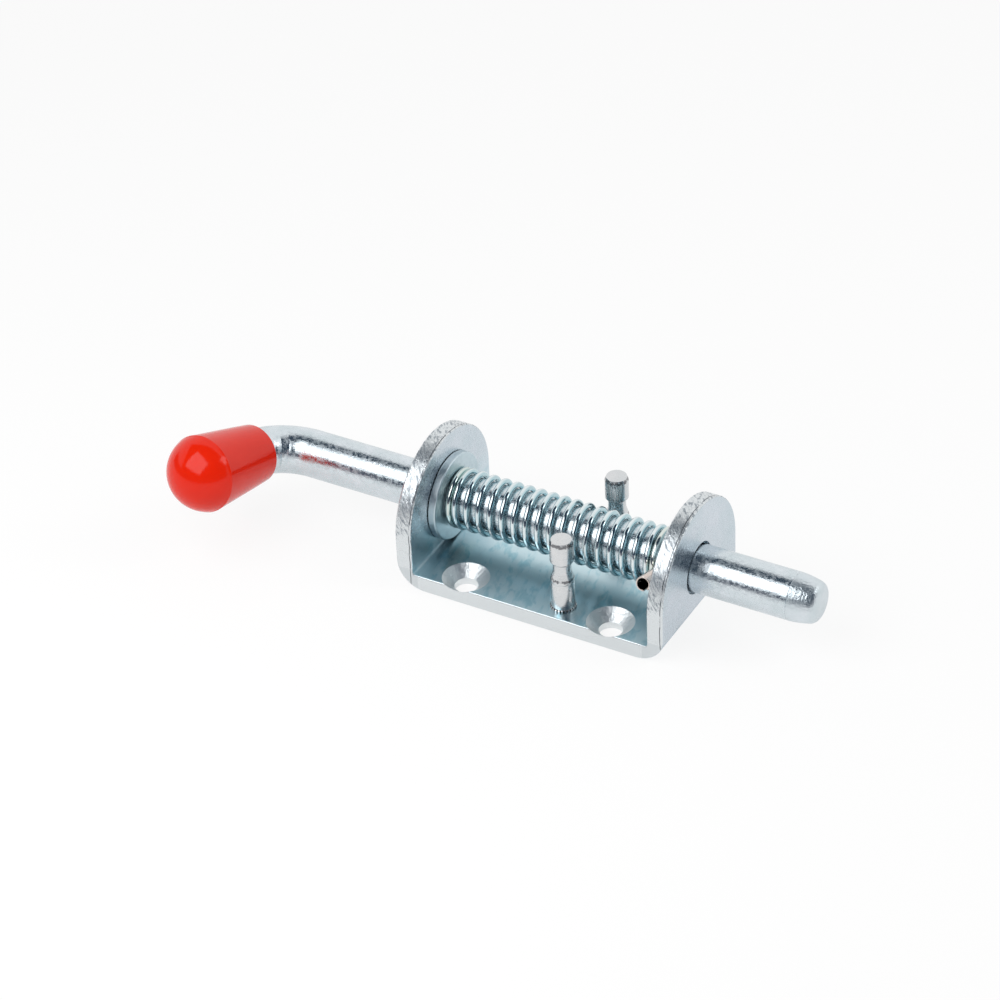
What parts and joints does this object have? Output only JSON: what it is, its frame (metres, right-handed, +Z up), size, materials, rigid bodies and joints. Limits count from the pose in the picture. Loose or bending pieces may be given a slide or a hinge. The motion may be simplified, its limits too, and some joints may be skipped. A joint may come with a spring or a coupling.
{
  "type": "spring bolt",
  "caption": "Spring bolt: a bent round bar slides in a folded bracket, a coil spring throws it out, and a capped handle draws it back to park its cross pin behind a stud.",
  "frame": {"origin": "centre of the bracket's underside, the face that is screwed down", "axes": "+X along the bar towards its free end, +Z up from the mounting surface, -Y towards the side on which the handle points"},
  "size_m": [0.2169, 0.0765, 0.0449],
  "materials": {
    "zinc_plate": "bright blue zinc plating on rolled plate",
    "zinc_turned": "bright zinc plating on turned steel",
    "zinc_bar": "bright zinc plating on drawn bar",
    "pin_steel": "spring steel, faint copper tint",
    "zinc_washer": "bright zinc plating on stamped plate",
    "zinc_wire": "glossy zinc plating on drawn wire",
    "cap_plastic": "moulded, satin gloss"
  },
  "bodies": {
    "bracket": {"bracket": "zinc_plate", "front_stud": "zinc_turned", "rear_stud": "zinc_turned"},
    "spring_stack": {"spring": "zinc_wire", "washer": "zinc_washer"},
    "bolt": {"bolt_rod": "zinc_bar", "roll_pin": "pin_steel", "handle_cap": "cap_plastic"}
  },
  "joints": [
    {"name": "bolt_turn", "type": "hinge", "parent": "bracket", "child": "spring_stack", "pos_m": [0, 0, 0.0211], "axis": [-1, 0, 0], "range_deg": [-26, 174]},
    {"name": "bolt_slide", "type": "slide", "parent": "spring_stack", "child": "bolt", "axis": [-1, 0, 0], "range_m": [0, 0.0242], "stiffness_N_per_m": 1575, "springref_m": -0.018, "deforming": ["spring"]}
  ]
}
